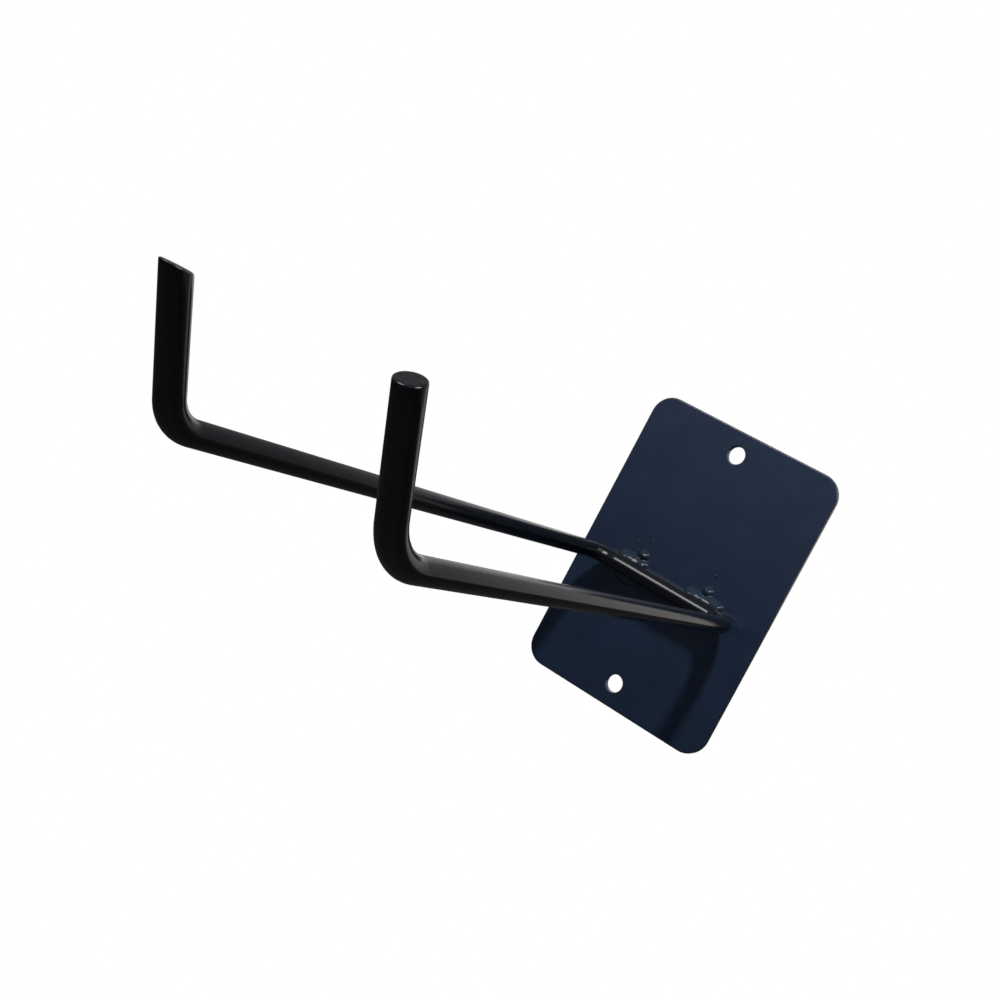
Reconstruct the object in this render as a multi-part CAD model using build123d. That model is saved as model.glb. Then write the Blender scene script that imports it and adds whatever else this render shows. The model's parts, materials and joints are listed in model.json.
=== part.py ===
from build123d import *
import os
from itertools import pairwise
from math import cos, pi, sin

# Wall guitar hanger: a flat steel plate screwed to the wall, with one bent round
# bar welded across it. The bar makes a fork: a crossbar lying on the plate, two
# arms standing straight out from it, and an upturned finger on the end of each arm.
#
# Millimetres, +Z up. The origin is the centre of the plate's back face, which
# rests on the wall. The wall is the plane Y = 0 and the arms point along -Y.

# Plate
PLATE_WIDTH = 78.0
PLATE_HEIGHT = 110.0
PLATE_THICKNESS = 2.5
PLATE_CORNER_RADIUS = 8.0
PLATE_RIM_RADIUS = 0.4
SCREW_HOLE_DIAMETER = 6.6
SCREW_HOLE_PITCH = 93.0

# The screw holes and the fork share a centre line a little left of the plate's own
CENTRE_OFFSET = -1.8

# Fork bar
BAR_DIAMETER = 6.0
ARM_SPACING = 57.5
ARM_REACH = 200.0
CROSSBAR_DROP = 7.5
CORNER_BEND_RADIUS = 9.0
TIP_CHAMFER = 0.35
WELD_GAP = 0.05

# Fingers: length from the sharp corner of the bend, lean away from the wall, and
# radius of the bend. The bar is bent by hand, so the two ends differ. The right
# finger is cut off square, the left one level with the arms.
LEFT_FINGER_LENGTH = 32.5
RIGHT_FINGER_LENGTH = 36.5
LEFT_FINGER_LEAN = 26.5
RIGHT_FINGER_LEAN = 29.0
LEFT_FINGER_BEND_RADIUS = 10.0
RIGHT_FINGER_BEND_RADIUS = 16.0

# Weld beads: rippled rolls in the notches between bar and plate. Each upper bead
# ends in a round drop where the torch was lifted. Distances across the plate are
# measured from the shared centre line; a span runs from the middle of a bead's
# first ripple to the middle of its last one.
RIPPLE_PITCH = 2.0
RIPPLE_RADIUS = 2.2
RIPPLE_VALLEY = 0.88
BEAD_HEIGHT = 4.0
BEAD_STANDOFF = 0.8
UPPER_LEFT_SPAN = (12.0, 20.0)
UPPER_RIGHT_SPAN = (9.0, 21.0)
LOWER_SPAN = (12.0, 18.0)
LIFT_DROP_RADIUS = 2.1
LIFT_DROP_HEIGHT = 6.4
LEFT_DROP_ACROSS = 13.0
RIGHT_DROP_ACROSS = 15.0

# Spatter: small round drops frozen on the plate around the two upper beads
SPATTER_PER_BEAD = 7
SPATTER_RADIUS = 0.6
SPATTER_DISTANCE = 5.5

BAR_RADIUS = BAR_DIAMETER / 2
FRONT_FACE = -PLATE_THICKNESS
BAR_DEPTH = FRONT_FACE - WELD_GAP - BAR_RADIUS
CORNER_DEPTH = BAR_DEPTH - ARM_REACH


def back_plate():
    """The rounded plate, with a screw hole near the top and one near the bottom."""
    outline = Plane.XZ * RectangleRounded(PLATE_WIDTH, PLATE_HEIGHT, PLATE_CORNER_RADIUS)
    plate = extrude(outline, PLATE_THICKNESS)
    rims = plate.edges().group_by(Axis.Y)
    plate = fillet(rims[0] + rims[-1], PLATE_RIM_RADIUS)
    for side in (-1, 1):
        hole = Cylinder(SCREW_HOLE_DIAMETER / 2, 3 * PLATE_THICKNESS, rotation=(90, 0, 0))
        plate -= Pos(CENTRE_OFFSET, FRONT_FACE / 2, side * SCREW_HOLE_PITCH / 2) * hole
    return plate


def finger_tip(side, length, lean):
    """Centre of the cut end of a finger; side is -1 on the left, 1 on the right."""
    corner = Vector(CENTRE_OFFSET + side * ARM_SPACING / 2, CORNER_DEPTH, -CROSSBAR_DROP)
    upward = Vector(0, 0, length).rotate(Axis.X, lean)
    return corner + upward


def above_left_finger():
    """A block whose flat underside is where the left finger is cut off level."""
    size = 4 * BAR_DIAMETER
    block = Box(size, size, size, align=(Align.CENTER, Align.CENTER, Align.MIN))
    return Pos(*finger_tip(-1, LEFT_FINGER_LENGTH, LEFT_FINGER_LEAN)) * block


def fork_rod():
    """The whole fork as one bar, swept from the left tip round to the right tip."""
    left = CENTRE_OFFSET - ARM_SPACING / 2
    right = CENTRE_OFFSET + ARM_SPACING / 2
    path = FilletPolyline(
        finger_tip(-1, LEFT_FINGER_LENGTH + BAR_RADIUS, LEFT_FINGER_LEAN),
        (left, CORNER_DEPTH, -CROSSBAR_DROP),
        (left, BAR_DEPTH, -CROSSBAR_DROP),
        (right, BAR_DEPTH, -CROSSBAR_DROP),
        (right, CORNER_DEPTH, -CROSSBAR_DROP),
        finger_tip(1, RIGHT_FINGER_LENGTH, RIGHT_FINGER_LEAN),
        radius=(
            LEFT_FINGER_BEND_RADIUS,
            CORNER_BEND_RADIUS,
            CORNER_BEND_RADIUS,
            RIGHT_FINGER_BEND_RADIUS,
        ),
    )
    section = Plane(origin=path @ 0, z_dir=path % 0) * Circle(BAR_RADIUS)
    rod = sweep(section, path=path) - above_left_finger()
    cut_ends = rod.faces().filter_by(GeomType.PLANE)
    return chamfer(cut_ends.edges(), TIP_CHAMFER)


def straight_crossbar():
    """A cutter as thick as the bar and its weld gap, lying where the crossbar lies."""
    cutter = Cylinder(BAR_RADIUS + WELD_GAP / 2, 2 * ARM_SPACING, rotation=(0, 90, 0))
    return Pos(0, BAR_DEPTH, -CROSSBAR_DROP) * cutter


def in_front_of_plate():
    """A block that keeps only what stands on the front face of the plate."""
    depth = 4 * BAR_DIAMETER
    return Pos(0, FRONT_FACE - depth / 2, 0) * Box(PLATE_WIDTH, depth, PLATE_HEIGHT)


def ripple_roll(near, far):
    """A roll along X from near to far, with round ends and one arc per ripple."""
    count = round((far - near) / RIPPLE_PITCH)
    valley = RIPPLE_RADIUS * RIPPLE_VALLEY
    stations = [near + (far - near) * step / count for step in range(count + 1)]
    ripples = [
        ThreePointArc((start, valley), ((start + end) / 2, RIPPLE_RADIUS), (end, valley))
        for start, end in pairwise(stations)
    ]
    near_cap = CenterArc((near, 0), valley, 90, 90)
    far_cap = CenterArc((far, 0), valley, 0, 90)
    axis_line = Line((near - valley, 0), (far + valley, 0))
    outline = make_face([near_cap, *ripples, far_cap, axis_line])
    return revolve(outline, Axis.X)


def weld_roll(side, above, span):
    """A bead's roll; side is -1 left or 1 right, above is 1 over the crossbar or -1 under it."""
    near, far = sorted(CENTRE_OFFSET + side * across for across in span)
    height = above * BEAD_HEIGHT - CROSSBAR_DROP
    return Pos(0, FRONT_FACE - BEAD_STANDOFF, height) * ripple_roll(near, far)


def lift_drop(across):
    """The round drop at the end of an upper bead, at a distance across the plate."""
    height = LIFT_DROP_HEIGHT - CROSSBAR_DROP
    return Pos(CENTRE_OFFSET + across, FRONT_FACE, height) * Sphere(LIFT_DROP_RADIUS)


def weld_bead(solid):
    """A bead cut to fit the front of the plate and the round of the crossbar."""
    return (solid & in_front_of_plate()) - straight_crossbar()


def weld_spatter():
    """Separate small drops in an arc above each upper bead, largest in the middle."""
    drops = []
    for side, drop_across in ((-1, LEFT_DROP_ACROSS), (1, RIGHT_DROP_ACROSS)):
        for index in range(SPATTER_PER_BEAD):
            share = index / (SPATTER_PER_BEAD - 1)
            angle = pi * (0.12 + 0.76 * share)
            distance = SPATTER_DISTANCE + 1.8 * sin(3 * index + side)
            radius = SPATTER_RADIUS * (0.6 + 0.4 * sin(pi * share))
            across = CENTRE_OFFSET + side * drop_across + 1.3 * distance * cos(angle)
            height = distance * sin(angle)
            drop = Pos(across, FRONT_FACE, height) * Sphere(radius)
            drops.append(drop & in_front_of_plate())
    return Compound(children=drops)


nodes = {
    "back_plate": back_plate(),
    "fork_rod": fork_rod(),
    "weld_upper_left": weld_bead(weld_roll(-1, 1, UPPER_LEFT_SPAN) + lift_drop(-LEFT_DROP_ACROSS)),
    "weld_upper_right": weld_bead(weld_roll(1, 1, UPPER_RIGHT_SPAN) + lift_drop(RIGHT_DROP_ACROSS)),
    "weld_lower_left": weld_bead(weld_roll(-1, -1, LOWER_SPAN)),
    "weld_lower_right": weld_bead(weld_roll(1, -1, LOWER_SPAN)),
    "weld_spatter": weld_spatter(),
}

os.makedirs("parts", exist_ok=True)
for name, shape in nodes.items():
    export_step(shape, f"parts/{name}.step")
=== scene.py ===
import json
from functools import partial
from itertools import pairwise
from math import cos, hypot, pi, radians, sin, tan
from random import Random

import bmesh
import bpy
import numpy as np
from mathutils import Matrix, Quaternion, Vector, noise
from mathutils.geometry import delaunay_2d_cdt


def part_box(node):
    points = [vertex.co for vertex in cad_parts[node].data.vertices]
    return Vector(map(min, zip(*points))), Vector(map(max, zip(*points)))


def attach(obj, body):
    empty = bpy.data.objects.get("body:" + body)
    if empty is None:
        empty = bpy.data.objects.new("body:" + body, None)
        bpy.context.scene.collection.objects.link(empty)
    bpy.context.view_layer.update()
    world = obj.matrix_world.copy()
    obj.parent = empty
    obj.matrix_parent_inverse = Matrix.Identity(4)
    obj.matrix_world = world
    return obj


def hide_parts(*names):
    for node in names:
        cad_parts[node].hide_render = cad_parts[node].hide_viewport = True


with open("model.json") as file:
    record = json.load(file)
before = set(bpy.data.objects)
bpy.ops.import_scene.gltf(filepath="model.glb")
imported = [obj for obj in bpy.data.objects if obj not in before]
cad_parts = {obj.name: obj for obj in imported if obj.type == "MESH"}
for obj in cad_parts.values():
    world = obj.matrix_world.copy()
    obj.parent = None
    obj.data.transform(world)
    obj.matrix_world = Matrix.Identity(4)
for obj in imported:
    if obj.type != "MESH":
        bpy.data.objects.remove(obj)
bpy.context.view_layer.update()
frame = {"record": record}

# Wall guitar hanger in blue-black enamel; part of the navy in the plate's and welds' paint colours is
# painted bluish light.
# Each CAD node is stood for by a finer mesh of the same size, with the workshop's marks on it: rolled
# plate edges, swollen bends, sawn bar ends, rippled weld beads and spatter.
# Metres, in the CAD frame: +Z up, the wall at Y = 0, the arms along -Y.

MM = 0.001
PLATE_LOW, PLATE_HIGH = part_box("back_plate")
BAR_LOW, BAR_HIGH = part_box("fork_rod")
FRONT = PLATE_LOW.y

PLATE_CORNER = 8 * MM
FRONT_EDGE = 0.5 * MM
BACK_EDGE = 0.25 * MM
HOLE_EDGE = 0.3 * MM
EDGE_SUPPORT = 0.15 * MM    # a flat ring beside each rounded edge, which keeps its shading tight
PLATE_EDGE_WEAR = 0.3
WARP_DEPTH = 0.07 * MM
WARP_SCALE = 38.0
WARP_EDGE = (0.5 * MM, 7 * MM)      # from every edge, where the warp starts and where it is full
DIMPLE_DEPTH = 0.02 * MM
DIMPLE_SCALE = 140.0
DIMPLE_SEED = 7.0
SCREWS = next(mount for mount in frame["record"]["mounts"] if mount["name"] == "wall_screws")
HOLE_RADIUS = SCREWS["dims"]["hole_r_mm"] * MM
HOLE_X = SCREWS["pos_m"][0]
HOLE_Z = SCREWS["dims"]["spacing_y_mm"] / 2 * MM

BAR_RADIUS = 3 * MM
BAR_SIDES = 48
SKIN_INSET = 0.015 * MM     # room for the skin's waves inside the CAD's box
SKIN_WAVE = 0.012 * MM
WAVES_ALONG = 90.0
WAVES_ROUND = 2.0
BEND_SWELL = 0.05
FORK_X = (BAR_LOW.x + BAR_HIGH.x) / 2
HALF_SPACING = (BAR_HIGH.x - BAR_LOW.x) / 2 - BAR_RADIUS
BAR_Y = BAR_HIGH.y - BAR_RADIUS
BAR_Z = BAR_LOW.z + BAR_RADIUS
ARM_REACH = 200 * MM
CORNER_BEND = 9 * MM

# Fingers: -1 is the left one, 1 the right one
FINGER_LENGTH = {-1: 32.5 * MM, 1: 36.5 * MM}
FINGER_LEAN = {-1: radians(26.5), 1: radians(29)}
FINGER_BEND = {-1: 10 * MM, 1: 16 * MM}
END_WEAR = {-1: 0.6, 1: 0.1}
SAWN_FACE = (2.2 * MM, 1.4 * MM, 0.6 * MM)      # insets of the rings across a sawn face
SAWN_EDGE = 0.5 * MM
SAW_MARK = 0.03 * MM
SAW_MARK_SCALE = 700.0

# Welds, in millimetres: u runs across the plate from the fork's centre line, and v
# up or down from the crossbar's axis. Each bead has its side, 1 above or -1 below the
# crossbar, its nearest and farthest ripple, and the middle of its lift drop, if any.
BEADS = {
    "weld_upper_left": (-1, 1, 12.0, 20.0, 13.2),
    "weld_upper_right": (1, 1, 9.0, 21.0, 15.0),
    "weld_lower_left": (-1, -1, 12.0, 18.0, None),
    "weld_lower_right": (1, -1, 12.0, 18.0, None),
}
GRID_PITCH = 0.13
GRID_MARGIN = 3.0           # beyond a bead's first and last ripple
GRID_V = (2.6, 9.2)         # from inside the crossbar to beyond the lift drops
BEAD_ROOT = 0.15            # how deep a bead reaches into the plate
LOWEST_FIELD = -0.9 * BEAD_ROOT         # the height field is cut off below this
LOWEST_KEPT = -0.85 * BEAD_ROOT         # and belongs to the bead above this
BEAD_BLEND = 0.7
BEAD_SHOULDER = 1.15
WAVE_HEIGHT = 0.12
WAVE_SCALE = 0.7
PIT_HEIGHT = 0.02
PIT_SCALE = 2.2
RIPPLE_PITCH = 2.0
RIPPLE_V = 3.0
RIPPLE_SPREAD = (2.6, 2.9)
RIPPLE_V_SCATTER = 0.3
RIPPLE_SIZE_SCATTER = 0.08
END_TAPER = 0.85
UPPER_RISE = 2.8
LOWER_RISE = 1.9
DROP_V = 6.5
DROP_RADIUS = 2.3
DROP_RISE = 2.5
CRATER_SHIFT = (-0.3, -0.1)
CRATER_SPREAD = (0.7, 0.65)
CRATER_DEPTH = 0.25
SPATTER_COUNT = 70
SPATTER_SEED = 11
SPATTER_U = 14.5
SPATTER_V = 5.0
SPATTER_STRETCH = 1.6       # the drops lie wider across the plate than up it
SPATTER_REACH = 7.0


# ---------------------------------------------------------------- node helpers

def add_node(tree, kind, **values):
    """A shader node with its properties or inputs set by name."""
    made = tree.nodes.new(kind)
    for name, value in values.items():
        if name in made.inputs:
            made.inputs[name].default_value = value
        else:
            setattr(made, name, value)
    return made


def noise_value(tree, place, scale, detail=2.0, roughness=0.5):
    """Noise in the range 0 to 1, at scale waves per metre."""
    made = add_node(tree, "ShaderNodeTexNoise", Scale=scale, Detail=detail, Roughness=roughness)
    tree.links.new(place, made.inputs["Vector"])
    return made.outputs["Fac"]


def remap(tree, value, low, high, to_low, to_high):
    """value taken from low..high to to_low..to_high, and clamped."""
    made = add_node(tree, "ShaderNodeMapRange", clamp=True)
    for name, number in zip(("From Min", "From Max", "To Min", "To Max"), (low, high, to_low, to_high)):
        made.inputs[name].default_value = number
    tree.links.new(value, made.inputs["Value"])
    return made.outputs["Result"]


def mix_colour(tree, share, first, second):
    """Colour first where share is 0, second where it is 1; each is a colour or a socket."""
    made = add_node(tree, "ShaderNodeMix", data_type="RGBA")
    tree.links.new(share, made.inputs["Factor"])
    for socket, colour in ((made.inputs[6], first), (made.inputs[7], second)):
        if isinstance(colour, tuple):
            socket.default_value = (*colour, 1.0)
        else:
            tree.links.new(colour, socket)
    return made.outputs[2]


def maths(tree, operation, first, second):
    """A two-input maths node; each input is a number or a socket."""
    made = add_node(tree, "ShaderNodeMath", operation=operation)
    for socket, value in zip(made.inputs, (first, second)):
        if isinstance(value, (int, float)):
            socket.default_value = value
        else:
            tree.links.new(value, socket)
    return made.outputs["Value"]


def bump(tree, height, distance, normal=None):
    """A bump of the given height socket, distance metres deep, on top of another normal."""
    made = add_node(tree, "ShaderNodeBump", Strength=1.0, Distance=distance)
    tree.links.new(height, made.inputs["Height"])
    if normal is not None:
        tree.links.new(normal, made.inputs["Normal"])
    return made.outputs["Normal"]


def new_material(name):
    """An empty node material: the material, its tree, and its Principled shader."""
    material = bpy.data.materials.new(name)
    material.use_nodes = True
    tree = material.node_tree
    return material, tree, tree.nodes["Principled BSDF"]


# ---------------------------------------------------------------- materials

# Scales of the paint's detail, in waves per metre
MOTTLE_SCALE = 55.0
HAZE_SCALE = 160.0
PEEL_SCALE = 620.0
CHIP_SCALE = 900.0
NIB_SCALE = 1500.0

NIB_HEIGHT = 0.006 * MM
PRIMER = (0.14, 0.125, 0.115)
CHIP_ROUGHNESS = 0.15
FLOOR_PALE = (0.86, 0.86, 0.86)
FLOOR_PALER = (0.9, 0.9, 0.9)
FLOOR_DARK = (0.12, 0.12, 0.12)
FLOOR_ROUGHNESS = 0.7
FLOOR_GRAIN_SCALE = 9.0
FLOOR_FADE = 0.3            # metres from the middle to where the floor is pure white


def enamel(name, dark, light, roughness, peel_depth):
    """Sprayed enamel: mottled tone, orange peel, dust nibs, and primer showing where "worn" is high."""
    material, tree, shader = new_material(name)
    place = add_node(tree, "ShaderNodeTexCoord").outputs["Object"]

    mottle = noise_value(tree, place, MOTTLE_SCALE, detail=4.0)
    paint = mix_colour(tree, remap(tree, mottle, 0.35, 0.65, 0.0, 1.0), dark, light)
    worn = add_node(tree, "ShaderNodeAttribute", attribute_name="worn").outputs["Fac"]
    chips = noise_value(tree, place, CHIP_SCALE, detail=5.0, roughness=0.6)
    thin = maths(tree, "MULTIPLY", worn, remap(tree, chips, 0.4, 0.66, 0.0, 1.0))
    tree.links.new(mix_colour(tree, thin, paint, PRIMER), shader.inputs["Base Color"])

    haze = noise_value(tree, place, HAZE_SCALE, detail=3.0)
    gloss = remap(tree, haze, 0.3, 0.7, roughness * 0.85, roughness * 1.2)
    dulled = maths(tree, "ADD", gloss, maths(tree, "MULTIPLY", thin, CHIP_ROUGHNESS))
    tree.links.new(dulled, shader.inputs["Roughness"])

    peel = bump(tree, noise_value(tree, place, PEEL_SCALE, detail=1.0), peel_depth)
    nibs = remap(tree, noise_value(tree, place, NIB_SCALE, detail=0.0), 0.72, 0.8, 0.0, 1.0)
    tree.links.new(bump(tree, nibs, NIB_HEIGHT, peel), shader.inputs["Normal"])
    return material


def pale_floor():
    """A floor that fades into the white background. The camera sees it pale and gloss sees it dark."""
    material, tree, shader = new_material("studio_floor")
    place = add_node(tree, "ShaderNodeTexCoord").outputs["Object"]
    seen = add_node(tree, "ShaderNodeLightPath").outputs["Is Camera Ray"]
    grain = noise_value(tree, place, FLOOR_GRAIN_SCALE, detail=5.0)
    pale = mix_colour(tree, grain, FLOOR_PALE, FLOOR_PALER)
    tree.links.new(mix_colour(tree, seen, FLOOR_DARK, pale), shader.inputs["Base Color"])
    shader.inputs["Roughness"].default_value = FLOOR_ROUGHNESS

    distance = add_node(tree, "ShaderNodeVectorMath", operation="LENGTH")
    tree.links.new(place, distance.inputs[0])
    far = remap(tree, distance.outputs["Value"], 0.0, FLOOR_FADE, 0.9, 1.0)
    glow = add_node(tree, "ShaderNodeEmission", Color=(1.0, 1.0, 1.0, 1.0))
    fade = add_node(tree, "ShaderNodeMixShader")
    tree.links.new(maths(tree, "MULTIPLY", far, seen), fade.inputs["Fac"])
    tree.links.new(shader.outputs["BSDF"], fade.inputs[1])
    tree.links.new(glow.outputs["Emission"], fade.inputs[2])
    tree.links.new(fade.outputs["Shader"], tree.nodes["Material Output"].inputs["Surface"])
    return material


# ---------------------------------------------------------------- mesh helpers

def smoothstep(value, start, end):
    """0 below start, 1 above end, and a smooth rise between."""
    share = np.clip((value - start) / (end - start), 0.0, 1.0)
    return share * share * (3.0 - 2.0 * share)


def new_object(name, points, faces, material):
    """A smooth-shaded mesh object with one material."""
    mesh = bpy.data.meshes.new(name)
    mesh.from_pydata([tuple(point) for point in points], [], faces)
    mesh.shade_smooth()
    mesh.materials.append(material)
    made = bpy.data.objects.new(name, mesh)
    bpy.context.scene.collection.objects.link(made)
    return made


def new_piece(name, points, faces, material, node, worn=None):
    """A piece on the root body that stands for a CAD node; worn is the paint wear at each point."""
    piece = new_object(name, points, faces, material)
    if worn is not None:
        wear = piece.data.attributes.new("worn", "FLOAT", "POINT")
        wear.data.foreach_set("value", np.asarray(worn, np.float32))
    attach(piece, "root")
    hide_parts(node)
    return piece


def strip(first, second):
    """Quads that join two closed rings of the same length, given as point numbers."""
    count = len(first)
    return [(first[i], first[(i + 1) % count], second[(i + 1) % count], second[i]) for i in range(count)]


# ---------------------------------------------------------------- back plate

def plate_outline(inset):
    """(x, z) points anticlockwise round the plate's outline, moved inwards by inset."""
    corner_steps = 12
    side_steps = 24
    radius = PLATE_CORNER - inset
    centre = (PLATE_HIGH.x - PLATE_CORNER, PLATE_HIGH.z - PLATE_CORNER)
    ring = []
    for quarter, (across, up) in enumerate(((1, 1), (-1, 1), (-1, -1), (1, -1))):
        arc = [
            (
                across * centre[0] + radius * cos(pi / 2 * (quarter + step / corner_steps)),
                up * centre[1] + radius * sin(pi / 2 * (quarter + step / corner_steps)),
            )
            for step in range(corner_steps + 1)
        ]
        if ring:
            ring += between(ring[-1], arc[0], side_steps)
        ring += arc
    return ring + between(ring[-1], ring[0], side_steps)


def between(start, end, steps):
    """The evenly spaced (x, z) points between start and end, without the two ends."""
    return [
        tuple(a + (b - a) * step / steps for a, b in zip(start, end))
        for step in range(1, steps)
    ]


def hole_outline(height, inset):
    """(x, z) points round a screw hole at the given height, on a circle wider by inset."""
    count = 48
    radius = HOLE_RADIUS + inset
    return [
        (HOLE_X + radius * cos(2 * pi * i / count), height + radius * sin(2 * pi * i / count))
        for i in range(count)
    ]


def edge_profile(front_round, back_round):
    """(inset, y) pairs from the front face over a rounded edge, down the wall and on to the back face."""
    steps = 5
    profile = [(front_round + EDGE_SUPPORT, FRONT)]
    for step in range(steps + 1):
        angle = pi / 2 * step / steps
        profile.append((front_round * (1 - sin(angle)), FRONT + front_round * (1 - cos(angle))))
    for step in range(steps + 1):
        angle = pi / 2 * step / steps
        profile.append((back_round * (1 - cos(angle)), -back_round * (1 - sin(angle))))
    profile.append((back_round + EDGE_SUPPORT, 0.0))
    return profile


def weld_warp(x, z):
    """How far the front face stands out of true, from rolling and from the heat of the welds."""
    edge = min(PLATE_HIGH.x - abs(x), PLATE_HIGH.z - abs(z))
    edge = min(edge, *(hypot(x - HOLE_X, z - side * HOLE_Z) - HOLE_RADIUS for side in (-1, 1)))
    depth = WARP_DEPTH * noise.noise(Vector((x, 0.0, z)) * WARP_SCALE)
    depth += DIMPLE_DEPTH * noise.noise(Vector((x, DIMPLE_SEED, z)) * DIMPLE_SCALE)
    return depth * smoothstep(edge, *WARP_EDGE)


def plate_face(rings, points):
    """Triangles of a face of the plate: rings are the outline and the holes, as point numbers."""
    pitch = 1.9 * MM
    clear = 1.1 * MM
    inside_outline = 1
    tolerance = 1e-7
    flat = [Vector((points[i][0], points[i][2])) for ring in rings for i in ring]
    numbers = [i for ring in rings for i in ring]
    edges = []
    start = 0
    for ring in rings:
        edges += [(start + i, start + (i + 1) % len(ring)) for i in range(len(ring))]
        start += len(ring)
    y = points[rings[0][0]][1]
    for x in np.arange(-PLATE_HIGH.x + clear, PLATE_HIGH.x - clear, pitch):
        for z in np.arange(-PLATE_HIGH.z + clear, PLATE_HIGH.z - clear, pitch):
            if inside_plate(x, z, clear + FRONT_EDGE):
                numbers.append(len(points))
                points.append((x, y + (weld_warp(x, z) if y < 0 else 0.0), z))
                flat.append(Vector((x, z)))
    _, _, triangles, *_ = delaunay_2d_cdt(flat, edges, [], inside_outline, tolerance, False)
    faces = []
    for triangle in triangles:
        x, z = sum((flat[i] for i in triangle), Vector((0.0, 0.0))) / 3
        if inside_plate(x, z, FRONT_EDGE):
            faces.append([numbers[i] for i in triangle])
    return faces


def inside_plate(x, z, clear):
    """True where (x, z) is inside the plate and outside its holes, by at least clear."""
    corner_x = max(abs(x) - PLATE_HIGH.x + PLATE_CORNER, 0.0)
    corner_z = max(abs(z) - PLATE_HIGH.z + PLATE_CORNER, 0.0)
    if hypot(corner_x, corner_z) > PLATE_CORNER - clear:
        return False
    return all(hypot(x - HOLE_X, z - side * HOLE_Z) > HOLE_RADIUS + clear for side in (-1, 1))


def back_plate(material):
    """The plate with rolled edges, two punched holes and a slightly uneven front."""
    points = []
    faces = []
    worn = {}
    front_rings = []
    back_rings = []
    loops = [(plate_outline, FRONT_EDGE)]
    loops += [(partial(hole_outline, side * HOLE_Z), HOLE_EDGE) for side in (-1, 1)]
    for outline, front_round in loops:
        rings = []
        for inset, y in edge_profile(front_round, BACK_EDGE):
            ring = list(range(len(points), len(points) + len(outline(inset))))
            points += [(x, y, z) for x, z in outline(inset)]
            for number in ring:
                worn[number] = 1.0 - smoothstep(inset, 0.0, front_round)
            if rings:
                faces += strip(rings[-1], ring)
            rings.append(ring)
        front_rings.append(rings[0])
        back_rings.append(rings[-1])
    faces += plate_face(front_rings, points)
    faces += plate_face(back_rings, points)
    wear = [PLATE_EDGE_WEAR * worn.get(number, 0.0) for number in range(len(points))]
    piece = new_piece("plate_body", points, faces, material, "back_plate", wear)
    turn_outwards(piece.data)


def turn_outwards(mesh):
    """Makes every face of a closed mesh face outwards."""
    form = bmesh.new()
    form.from_mesh(mesh)
    bmesh.ops.recalc_face_normals(form, faces=form.faces)
    form.to_mesh(mesh)
    form.free()


# ---------------------------------------------------------------- fork bar

def finger_end(side):
    """Centre of a finger's sawn end."""
    lean = FINGER_LEAN[side]
    return arm_corner(side, ARM_REACH) + Vector((0.0, -sin(lean), cos(lean))) * FINGER_LENGTH[side]


def arm_corner(side, reach):
    """A sharp corner of the bar's centre line, at the given reach in front of the crossbar."""
    return Vector((FORK_X + side * HALF_SPACING, BAR_Y - reach, BAR_Z))


def bar_stations():
    """Centre points along the bar from tip to tip.

    Each is (point, way to the bend's centre or None, how deep in the bend from 0 to 1).
    """
    corners = [
        finger_end(-1),
        arm_corner(-1, ARM_REACH),
        arm_corner(-1, 0.0),
        arm_corner(1, 0.0),
        arm_corner(1, ARM_REACH),
        finger_end(1),
    ]
    radii = (FINGER_BEND[-1], CORNER_BEND, CORNER_BEND, FINGER_BEND[1])
    stations = []
    start = corners[0]
    for before, corner, after, radius in zip(corners, corners[1:], corners[2:], radii):
        arriving = (corner - before).normalized()
        leaving = (after - corner).normalized()
        turn = arriving.angle(leaving)
        run = radius * tan(turn / 2)
        bend_start = corner - arriving * run
        stations += straight_stations(start, bend_start)
        centre = corner + (leaving - arriving).normalized() * radius / cos(turn / 2)
        spin_axis = arriving.cross(leaving).normalized()
        steps = 18
        for step in range(steps):
            spin = Quaternion(spin_axis, turn * step / steps)
            point = centre + spin @ (bend_start - centre)
            stations.append((point, (centre - point).normalized(), sin(pi * step / steps)))
        start = corner + leaving * run
    return stations + straight_stations(start, corners[-1]) + [(corners[-1], None, 0.0)]


def straight_stations(start, end):
    """Stations about 5 mm apart on a straight run, with its end left out."""
    steps = max(2, round((end - start).length / (5 * MM)))
    return [(start.lerp(end, step / steps), None, 0.0) for step in range(steps)]


def bar_skin(point, across, inward, bend):
    """A point of the bar's skin in the direction across; the bar swells a little in its bends."""
    radius = BAR_RADIUS - SKIN_INSET
    if bend > 0.0:
        radius *= 1.0 + BEND_SWELL * bend * across.dot(inward) ** 2
    radius += SKIN_WAVE * noise.noise(point * WAVES_ALONG + across * WAVES_ROUND)
    return point + across * radius


def bar_sections():
    """Sections along the bar: (centre, heading, its (direction, skin point) pairs) at each station."""
    stations = bar_stations()
    centres = [station[0] for station in stations]
    side_way = Vector((1.0, 0.0, 0.0))
    heading = (centres[1] - centres[0]).normalized()
    sections = []
    for index, (centre, inward, bend) in enumerate(stations):
        ahead = centres[min(index + 1, len(centres) - 1)]
        behind = centres[max(index - 1, 0)]
        new_heading = (ahead - behind).normalized()
        side_way = heading.rotation_difference(new_heading) @ side_way
        heading = new_heading
        other_way = heading.cross(side_way)
        spokes = []
        for step in range(BAR_SIDES):
            angle = 2 * pi * step / BAR_SIDES
            across = side_way * cos(angle) + other_way * sin(angle)
            spokes.append((across, bar_skin(centre, across, inward, bend)))
        sections.append((centre, heading, spokes))
    return sections


def end_profile():
    """(inset, drop) pairs over a sawn and dressed end, from the middle of its face out to the skin."""
    steps = 4
    pairs = [(inset, 0.0) for inset in SAWN_FACE]
    for step in range(steps + 1):
        angle = pi / 2 * step / steps
        pairs.append((SAWN_EDGE * (1 - sin(angle)), SAWN_EDGE * (1 - cos(angle))))
    return pairs


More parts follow.
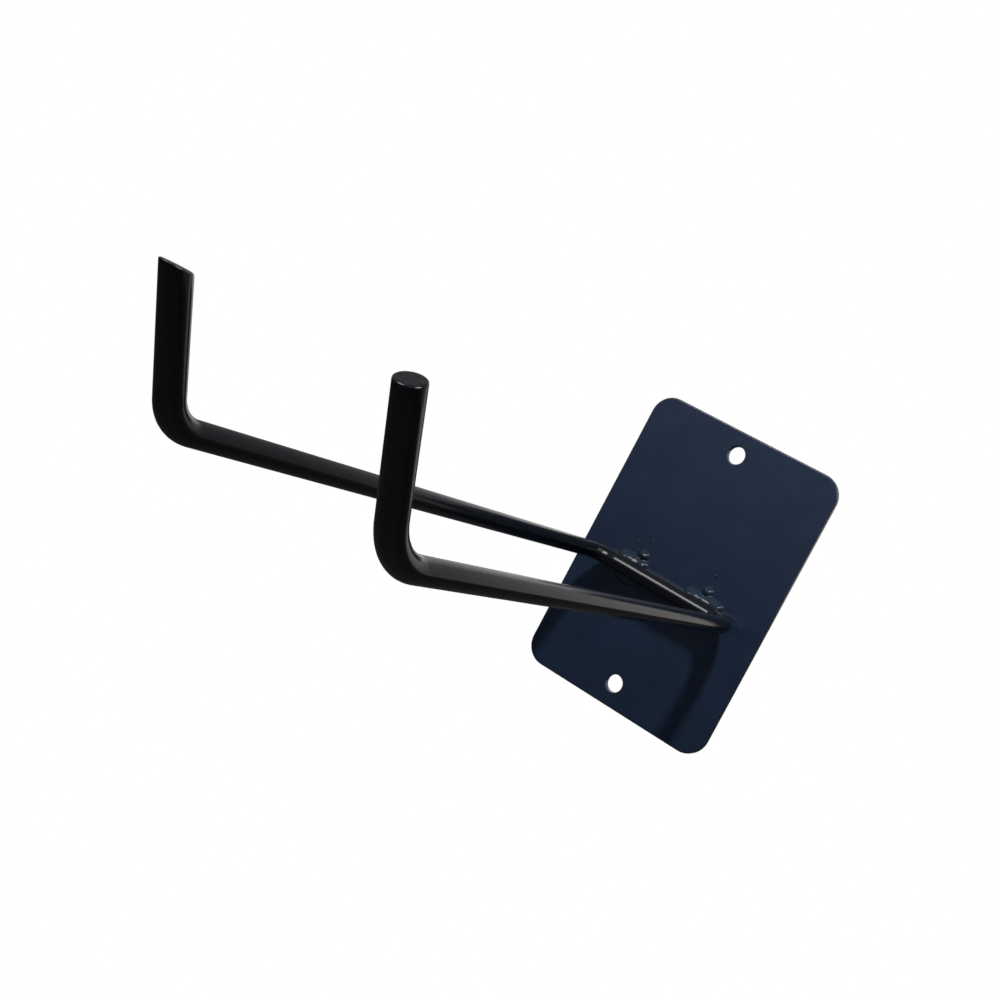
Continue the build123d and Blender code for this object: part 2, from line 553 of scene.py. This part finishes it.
def sawn_end(section, side):
    """Rings from the middle of a sawn end's face out to the bar's skin, each with its paint wear."""
    centre, heading, spokes = section
    outward = heading * side
    rings = []
    for inset, drop in end_profile():
        ring = []
        for across, skin in spokes:
            place = skin - across * inset
            if side == -1:      # the left finger's end is cut level
                place -= outward * (place.z - centre.z) / outward.z
            place -= outward * drop
            if inset > SAWN_EDGE:
                place += outward * SAW_MARK * noise.noise(place * SAW_MARK_SCALE)
            ring.append(place)
        rings.append((ring, END_WEAR[side] if inset > 0.0 else 0.0))
    return rings


def fork_bar(material):
    """The bent round bar, swept from tip to tip, with sawn ends."""
    left_end, *middle, right_end = bar_sections()
    rings = sawn_end(left_end, -1)
    rings += [([skin for _, skin in spokes], 0.0) for _, _, spokes in middle]
    rings += reversed(sawn_end(right_end, 1))
    points = [point for ring, _ in rings for point in ring]
    worn = [wear for ring, wear in rings for _ in ring]
    numbers = [range(start, start + BAR_SIDES) for start in range(0, len(points), BAR_SIDES)]
    faces = []
    for first, second in pairwise(numbers):
        faces += strip(first, second)
    for side, ring in ((-1, numbers[0]), (1, numbers[-1])):
        points.append(sum((points[i] for i in ring), Vector()) / BAR_SIDES)
        worn.append(END_WEAR[side])
        faces += [(ring[i], ring[(i + 1) % BAR_SIDES], len(points) - 1) for i in range(BAR_SIDES)]
    piece = new_piece("fork_bar", points, faces, material, "fork_rod", worn)
    turn_outwards(piece.data)


# ---------------------------------------------------------------- welds

def soft_max(heights, softness):
    """The highest of several height fields, blended where they meet."""
    stack = np.stack(heights) / softness
    top = stack.max(axis=0)
    return softness * (top + np.log(np.exp(stack - top).sum(axis=0)))


def mound(u, v, centre, spread, top):
    """Height field of a round-shouldered mound that falls to zero at spread, and on below it."""
    reach = ((u - centre[0]) / spread[0]) ** 2 + ((v - centre[1]) / spread[1]) ** 2
    return top * (1.0 - reach ** BEAD_SHOULDER)


def bead_height(u, v, side, span, drop_u, dice):
    """Height of a bead over the plate: u runs across the plate, v away from the crossbar's axis."""
    near, far = span
    rise = LOWER_RISE if drop_u is None else UPPER_RISE
    count = round((far - near) / RIPPLE_PITCH)
    mounds = []
    for index in range(count + 1):
        across = side * (near + (far - near) * index / count)
        size = 1.0 + RIPPLE_SIZE_SCATTER * (dice.random() - 0.5)
        if index in (0, count):
            size *= END_TAPER
        centre = (across, RIPPLE_V + RIPPLE_V_SCATTER * (dice.random() - 0.5))
        spread = (RIPPLE_SPREAD[0] * size, RIPPLE_SPREAD[1] * size)
        mounds.append(mound(u, v, centre, spread, rise * size))
    if drop_u is None:
        return soft_max(mounds, BEAD_BLEND)
    mounds.append(mound(u, v, (side * drop_u, DROP_V), (DROP_RADIUS, DROP_RADIUS), DROP_RISE))
    crater_u = (u - side * drop_u - CRATER_SHIFT[0]) / CRATER_SPREAD[0]
    crater_v = (v - DROP_V - CRATER_SHIFT[1]) / CRATER_SPREAD[1]
    return soft_max(mounds, BEAD_BLEND) - CRATER_DEPTH * np.exp(-(crater_u ** 2 + crater_v ** 2))


def rough(field_u, field_v, scale, seed):
    """Noise between about -1 and 1 on a grid of points, at scale waves per unit."""
    flat = [
        noise.noise(Vector((a * scale, b * scale, seed)))
        for a, b in zip(field_u.ravel(), field_v.ravel())
    ]
    return np.array(flat).reshape(field_u.shape)


def field_solid(u, v, height, above):
    """Points and faces of the closed solid between a height field and its base inside the plate."""
    keep = height > LOWEST_KEPT
    columns, rows = u.shape
    points = []
    faces = []
    numbers = {}

    def corner(i, j, level):
        """The point number of a grid corner on the field (level 1) or on the base (level 0)."""
        key = (i, j, level)
        if key not in numbers:
            numbers[key] = len(points)
            stand = height[i, j] if level else -BEAD_ROOT
            points.append((FORK_X + u[i, j] * MM, FRONT - stand * MM, BAR_Z + above * v[i, j] * MM))
        return numbers[key]

    cells = [
        (i, j)
        for i in range(columns - 1)
        for j in range(rows - 1)
        if keep[i:i + 2, j:j + 2].any()
    ]
    solid = set(cells)
    for i, j in cells:
        square = ((i, j), (i + 1, j), (i + 1, j + 1), (i, j + 1))
        faces.append([corner(*at, 1) for at in square])
        faces.append([corner(*at, 0) for at in reversed(square)])
        neighbours = ((i, j - 1), (i + 1, j), (i, j + 1), (i - 1, j))
        for index, neighbour in enumerate(neighbours):
            if neighbour not in solid:
                a, b = square[index], square[(index + 1) % 4]
                faces.append([corner(*b, 1), corner(*a, 1), corner(*a, 0), corner(*b, 0)])
    return points, faces


def weld_bead(node, material):
    """A hand-laid bead in the notch between crossbar and plate."""
    side, above, near, far, drop_u = BEADS[node]
    dice = Random(f"{side}{above}")
    low_u, high_u = sorted((side * (near - GRID_MARGIN), side * (far + GRID_MARGIN)))
    grid_u = np.arange(low_u, high_u, GRID_PITCH)
    grid_v = np.arange(*GRID_V, GRID_PITCH)
    u, v = np.meshgrid(grid_u, grid_v, indexing="ij")
    height = bead_height(u, v, side, (near, far), drop_u, dice)
    waves = WAVE_HEIGHT * rough(u, v, WAVE_SCALE, side + 3.0 * above)
    pits = PIT_HEIGHT * rough(u, v, PIT_SCALE, side - 3.0 * above)
    height = np.maximum(height + (waves + pits), LOWEST_FIELD)
    points, faces = field_solid(u, v, height, above)
    name = node.replace("weld_", "bead_")
    piece = new_piece(name, points, faces, material, node)
    turn_outwards(piece.data)


def weld_spatter(material):
    """Small frozen drops on the plate around the upper beads, thickest close to them."""
    dice = Random(SPATTER_SEED)
    points = []
    faces = []
    for _ in range(SPATTER_COUNT):
        side = dice.choice((-1, 1))
        distance = 1.0 + min(dice.expovariate(0.4), SPATTER_REACH)
        angle = pi * dice.random()
        u = side * SPATTER_U + SPATTER_STRETCH * distance * cos(angle)
        v = SPATTER_V + distance * sin(angle)
        radius = 0.14 + 0.3 * dice.random() ** 3
        add_drop(points, faces, Vector((FORK_X + u * MM, FRONT, BAR_Z + v * MM)), radius * MM, dice)
    piece = new_piece("spatter_drops", points, faces, material, "weld_spatter")
    turn_outwards(piece.data)


def add_drop(points, faces, centre, radius, dice):
    """One drop: a squat dome sunk a little into the plate."""
    around = 12
    levels = 5
    stretch = 1.0 + 0.5 * dice.random()
    turn = pi * dice.random()
    rise = radius * (0.55 + 0.3 * dice.random())
    rings = []
    for level in range(levels):
        tilt = pi / 2 * level / levels
        ring = []
        for step in range(around):
            angle = 2 * pi * step / around
            a = radius * stretch * cos(tilt) * cos(angle)
            b = radius * cos(tilt) * sin(angle)
            across = a * cos(turn) - b * sin(turn)
            up = a * sin(turn) + b * cos(turn)
            ring.append(len(points))
            points.append(centre + Vector((across, -rise * sin(tilt), up)))
        if rings:
            faces.extend(strip(rings[-1], ring))
        rings.append(ring)
    for ring, y in ((rings[0], 0.1 * radius), (rings[-1], -rise)):
        points.append(centre + Vector((0.0, y, 0.0)))
        faces.extend((ring[i], ring[(i + 1) % around], len(points) - 1) for i in range(around))


# ---------------------------------------------------------------- studio

FLOOR_HALF_WIDTH = 6.0
FLOOR_DROP = 0.35           # below the plate's bottom edge

# The room that gloss mirrors; a range is of the looking direction's x, y or z
ROOM_STRENGTH = 0.18
DISC_STRENGTH = 0.5
DISC_RANGE_Y = (0.79, 0.93)
GLOW_STRENGTH = 0.45
GLOW_RANGE_X = (-0.02, -0.15)
GLOW_RANGE_Y = (0.8, 0.88)
GLOW_RANGE_Z = (0.05, 0.15)
COOL = (0.85, 0.97, 1.2)
WARM = (1.1, 0.94, 0.78)
NEUTRAL = (0.97, 0.95, 0.98)
COOL_RANGE_Y = (-0.2, 0.5)
WARM_RANGE_Z = (-0.2, 0.3)

CAMERA_PLACE = (140.709 * MM, -375.584 * MM, 31.701 * MM)
CAMERA_TURN = (radians(85.899), radians(-28.323), radians(19.580))
CAMERA_LENS = 40.193
CAMERA_SHIFT_X = -0.23925
CAMERA_SHIFT_Y = 0.0843
CLIP_START = 0.01


def studio_floor():
    """A wide floor well below the hanger."""
    half = FLOOR_HALF_WIDTH
    height = PLATE_LOW.z - FLOOR_DROP
    corners = [(-half, -half, height), (half, -half, height), (half, half, height), (-half, half, height)]
    floor = new_object("studio_floor", corners, [(0, 1, 2, 3)], pale_floor())


def soft_light(name, place, size, power, mirrored):
    """A square lamp turned to the plate's centre: one seen only in gloss, or one that only lights."""
    lamp = bpy.data.lights.new(name, "AREA")
    lamp.size = size
    lamp.energy = power
    holder = bpy.data.objects.new(name, lamp)
    holder.location = place
    holder.visible_glossy = mirrored
    holder.visible_diffuse = not mirrored
    holder.visible_camera = False
    holder.rotation_euler = (-holder.location).to_track_quat("-Z", "Y").to_euler()
    bpy.context.scene.collection.objects.link(holder)


def mirrored_room(tree):
    """Colour and brightness of a dim room, a lit disc behind the wall and a glow up on its left."""
    direction = add_node(tree, "ShaderNodeTexCoord").outputs["Generated"]
    parts = add_node(tree, "ShaderNodeSeparateXYZ")
    tree.links.new(direction, parts.inputs[0])
    x, y, z = (parts.outputs[axis] for axis in "XYZ")
    disc = remap(tree, y, *DISC_RANGE_Y, 0.0, DISC_STRENGTH)
    glow = remap(tree, y, *GLOW_RANGE_Y, 0.0, GLOW_STRENGTH)
    for value, ends in ((x, GLOW_RANGE_X), (z, GLOW_RANGE_Z)):
        glow = maths(tree, "MULTIPLY", glow, remap(tree, value, *ends, 0.0, 1.0))
    strength = maths(tree, "ADD", maths(tree, "ADD", disc, glow), ROOM_STRENGTH)
    beyond = mix_colour(tree, remap(tree, z, *WARM_RANGE_Z, 0.0, 1.0), WARM, NEUTRAL)
    colour = mix_colour(tree, remap(tree, y, *COOL_RANGE_Y, 0.0, 1.0), COOL, beyond)
    return colour, strength


def studio_world():
    """A world that is white to the camera and a dim room to everything else."""
    world = bpy.data.worlds.new("studio")
    world.use_nodes = True
    tree = world.node_tree
    bpy.context.scene.world = world
    lit = tree.nodes["Background"]
    for socket, value in zip((lit.inputs["Color"], lit.inputs["Strength"]), mirrored_room(tree)):
        tree.links.new(value, socket)
    white = add_node(tree, "ShaderNodeBackground", Color=(1.0, 1.0, 1.0, 1.0), Strength=1.0)
    seen = add_node(tree, "ShaderNodeLightPath").outputs["Is Camera Ray"]
    choice = add_node(tree, "ShaderNodeMixShader")
    tree.links.new(seen, choice.inputs["Fac"])
    tree.links.new(lit.outputs["Background"], choice.inputs[1])
    tree.links.new(white.outputs["Background"], choice.inputs[2])
    tree.links.new(choice.outputs["Shader"], tree.nodes["World Output"].inputs["Surface"])


def shift_at_home(holder, prop, amount):
    """Gives the lens a shift that holds only while the camera stands where it is now."""
    driver = holder.data.driver_add(prop).driver
    driver.type = "SCRIPTED"
    place = driver.variables.new()
    place.name = "x"
    place.type = "SINGLE_PROP"
    place.targets[0].id = holder
    place.targets[0].data_path = "location.x"
    tolerance = 0.0001
    driver.expression = f"{amount} if abs(x - {holder.location.x:.6f}) < {tolerance} else 0.0"


def camera():
    """The camera, whose picture is a shifted part of a wider view."""
    lens = bpy.data.cameras.new("camera")
    lens.lens = CAMERA_LENS
    lens.clip_start = CLIP_START
    holder = bpy.data.objects.new("camera", lens)
    holder.location = CAMERA_PLACE
    holder.rotation_euler = CAMERA_TURN
    bpy.context.scene.collection.objects.link(holder)
    shift_at_home(holder, "shift_x", CAMERA_SHIFT_X)
    shift_at_home(holder, "shift_y", CAMERA_SHIFT_Y)
    bpy.context.scene.camera = holder


# Painted light: the plate's navy base colour is partly its blue-black enamel and partly painted bluish
# light.
plate_paint_and_light = enamel(
    "plate_enamel_and_painted_light",
    dark=(0.018, 0.032, 0.065),
    light=(0.022, 0.037, 0.075),
    roughness=0.2,
    peel_depth=0.02 * MM,
)
bar_paint = enamel(
    "bar_enamel",
    dark=(0.006, 0.007, 0.009),
    light=(0.008, 0.009, 0.011),
    roughness=0.15,
    peel_depth=0.01 * MM,
)
# Painted light: the welds' navy follows the plate's, partly blue-black enamel and partly painted bluish
# light.
weld_paint_and_light = enamel(
    "weld_enamel_and_painted_light",
    dark=(0.015, 0.027, 0.046),
    light=(0.020, 0.035, 0.056),
    roughness=0.1,
    peel_depth=0.006 * MM,
)
back_plate(plate_paint_and_light)
fork_bar(bar_paint)
for bead in BEADS:
    weld_bead(bead, weld_paint_and_light)
weld_spatter(weld_paint_and_light)
studio_floor()
studio_world()
soft_light("key", place=(0.05, -0.2, 0.46), size=0.045, power=2.25, mirrored=False)
soft_light("side", place=(-0.42, -0.95, 0.61), size=0.5, power=5.0, mirrored=True)
soft_light("right", place=(0.72, -0.35, 0.62), size=0.5, power=6.0, mirrored=True)
camera()
bpy.context.scene.view_settings.view_transform = "Standard"
